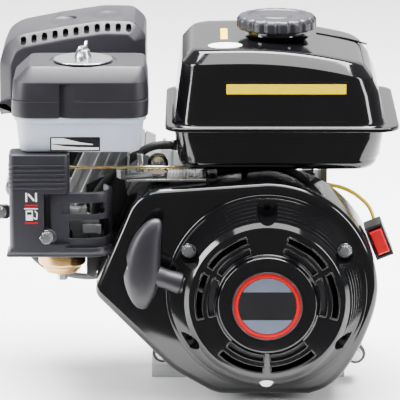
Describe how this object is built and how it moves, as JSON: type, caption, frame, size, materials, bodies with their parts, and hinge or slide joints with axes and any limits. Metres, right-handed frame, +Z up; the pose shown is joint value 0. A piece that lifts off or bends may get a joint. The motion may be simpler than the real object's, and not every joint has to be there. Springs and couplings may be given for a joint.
{
  "type": "small gasoline engine",
  "caption": "Horizontal-shaft air-cooled single-cylinder petrol engine with recoil starter, fuel tank, air cleaner, carburettor and shielded muffler.",
  "frame": {"origin": "flat underside of the crankcase base, in the middle of the base bolt rows along the crankshaft and under the crankshaft axis", "axes": "+Z up; +Y along the crankshaft towards the power take-off; -X towards the cylinder head"},
  "size_m": [0.3713, 0.3202, 0.346],
  "materials": {
    "black_paint": "high gloss baked enamel",
    "heat_black": "matt heat-proof paint",
    "cast_alloy": "as-cast, fine grain",
    "zinc_steel": "bright zinc plate",
    "zinc_yellow": "yellow-passivated zinc plate",
    "bearing_steel": "ground steel",
    "grey_iron": "machined grey iron",
    "gasket": "composite gasket sheet",
    "black_plastic": "fine moulded grain",
    "soft_black": "satin moulded",
    "grey_plastic": "satin moulded",
    "milky_plastic": "translucent moulded",
    "rubber_black": "matt rubber",
    "rope_cord": "braided cord",
    "filter_paper": "pleated paper and foam",
    "dark_steel": "dark coated steel",
    "brass_part": "plain brass",
    "gold_bowl": "gold-passivated steel",
    "switch_red": "glossy moulded",
    "wire_yellow": "wire sleeve",
    "badge_print": "printed label under clear film"
  },
  "bodies": {
    "engine": {"crankcase": "cast_alloy", "side_cover": "cast_alloy", "case_bolts": "zinc_steel", "bearings_and_seals": "bearing_steel", "gaskets": "gasket", "cylinder_head": "cast_alloy", "rocker_cover": "black_paint", "valve_train": "bearing_steel", "piston": "cast_alloy", "connecting_rod": "cast_alloy", "fan_cover": "black_paint", "cover_bolts": "zinc_steel", "recoil_case": "black_paint", "badge": "badge_print", "recoil_spring": "bearing_steel", "tank_upper": "black_paint", "tank_lower": "black_paint", "tank_bracket": "dark_steel", "cleaner_base": "milky_plastic", "filter_element": "filter_paper", "intake_shroud": "black_plastic", "intake_fasteners": "zinc_steel", "carburetor": "cast_alloy", "float_bowl": "gold_bowl", "fuel_hose": "rubber_black", "muffler": "dark_steel", "muffler_cover": "heat_black", "ignition_coil": "black_plastic", "spark_plug": "zinc_steel", "plug_cap": "rubber_black", "plug_lead": "rubber_black", "switch_housing": "soft_black", "switch_wire": "wire_yellow", "control_bracket": "zinc_yellow", "governor_spring": "zinc_steel"},
    "crank": {"crankshaft": "bearing_steel", "flywheel": "grey_iron", "cooling_fan": "black_plastic", "starter_cup": "zinc_steel", "flywheel_nut": "zinc_steel"},
    "cam": {"camshaft": "grey_iron"},
    "reel": {"recoil_reel": "black_plastic", "rope_coil": "rope_cord", "ratchet_pawls": "black_plastic"},
    "pull_handle": {"starter_handle": "soft_black", "starter_rope": "rope_cord"},
    "cap_seat": {"cap_gasket": "rubber_black"},
    "cap": {"fuel_cap": "soft_black"},
    "cleaner_lid": {"cleaner_cover": "black_plastic"},
    "nut_lift": {"wing_washer": "zinc_steel"},
    "nut_turn": {"wing_nut": "zinc_steel"},
    "choke": {"choke_lever": "grey_plastic"},
    "throttle_valve": {"throttle_shaft": "brass_part"},
    "throttle_control": {"throttle_lever": "dark_steel"},
    "governor": {"governor_arm": "zinc_yellow"},
    "link": {"governor_rod": "brass_part"},
    "fuel_tap": {"fuel_lever": "grey_plastic"},
    "switch": {"switch_rocker": "switch_red"},
    "dipstick": {"oil_dipstick": "soft_black"},
    "filler_plug": {"oil_filler_plug": "soft_black"}
  },
  "joints": [
    {"name": "crankshaft_spin", "type": "hinge", "parent": "engine", "child": "crank", "pos_m": [0, 0, 0.106], "axis": [0, 1, 0], "continuous": true, "deforming": ["connecting_rod"]},
    {"name": "camshaft_spin", "type": "hinge", "parent": "engine", "child": "cam", "pos_m": [-0.02282, 0, 0.05706], "axis": [0, 1, 0], "continuous": true},
    {"name": "handle_pull", "type": "slide", "parent": "engine", "child": "pull_handle", "axis": [-0.9511, 0, 0.309], "range_m": [0, 0.6]},
    {"name": "reel_turn", "type": "hinge", "parent": "engine", "child": "reel", "pos_m": [0, -0.167, 0.106], "axis": [0, 1, 0], "range_deg": [-760, 760]},
    {"name": "cap_lift", "type": "slide", "parent": "engine", "child": "cap_seat", "axis": [0, 0, 1], "range_m": [0, 0.06]},
    {"name": "cap_turn", "type": "hinge", "parent": "cap_seat", "child": "cap", "pos_m": [0.01, -0.038, 0.34], "axis": [0, 0, 1], "range_deg": [0, 90]},
    {"name": "lid_lift", "type": "slide", "parent": "engine", "child": "cleaner_lid", "axis": [0, 0, 1], "range_m": [0, 0.09]},
    {"name": "wing_nut_lift", "type": "slide", "parent": "cleaner_lid", "child": "nut_lift", "axis": [0, 0, 1], "range_m": [0, 0.012]},
    {"name": "wing_nut_turn", "type": "hinge", "parent": "nut_lift", "child": "nut_turn", "pos_m": [-0.168, -0.092, 0.32], "axis": [0, 0, 1], "range_deg": [0, 1800]},
    {"name": "choke_turn", "type": "hinge", "parent": "engine", "child": "choke", "pos_m": [-0.189, -0.093, 0.15], "axis": [0, 0, 1], "range_deg": [0, 62]},
    {"name": "governor_swing", "type": "hinge", "parent": "engine", "child": "governor", "pos_m": [-0.05, -0.057, 0.14], "axis": [0, 0, 1], "range_deg": [0, 34]},
    {"name": "governor_link", "type": "slide", "parent": "engine", "child": "link", "axis": [1, 0, 0], "range_m": [0, 0.022]},
    {"name": "throttle_valve_turn", "type": "hinge", "parent": "engine", "child": "throttle_valve", "pos_m": [-0.189, -0.066, 0.15], "axis": [0, 0, 1], "range_deg": [0, 48]},
    {"name": "throttle_lever_turn", "type": "hinge", "parent": "engine", "child": "throttle_control", "pos_m": [-0.1, -0.1, 0.208], "axis": [0, 0, 1], "range_deg": [-28, 20]},
    {"name": "fuel_tap_turn", "type": "hinge", "parent": "engine", "child": "fuel_tap", "pos_m": [-0.163, -0.1, 0.158], "axis": [0, 1, 0], "range_deg": [-90, 0]},
    {"name": "stop_switch", "type": "hinge", "parent": "engine", "child": "switch", "pos_m": [0.10421, -0.104, 0.14705], "axis": [0.9304, 0, 0.3665], "range_deg": [0, 18]},
    {"name": "dipstick_pull", "type": "slide", "parent": "engine", "child": "dipstick", "axis": [1, 0, 0], "range_m": [0, 0.05]},
    {"name": "filler_plug_pull", "type": "slide", "parent": "engine", "child": "filler_plug", "axis": [-1, 0, 0], "range_m": [0, 0.03]}
  ],
  "couplings": [
    {"joint": "camshaft_spin", "follows": "crankshaft_spin", "ratio": -0.5},
    {"joint": "reel_turn", "follows": "handle_pull", "rad_per_m": 20.833},
    {"joint": "wing_nut_turn", "follows": "wing_nut_lift", "rad_per_m": 2500},
    {"joint": "governor_link", "follows": "governor_swing", "m_per_rad": 0.033},
    {"joint": "throttle_valve_turn", "follows": "governor_swing", "ratio": 1.375}
  ]
}
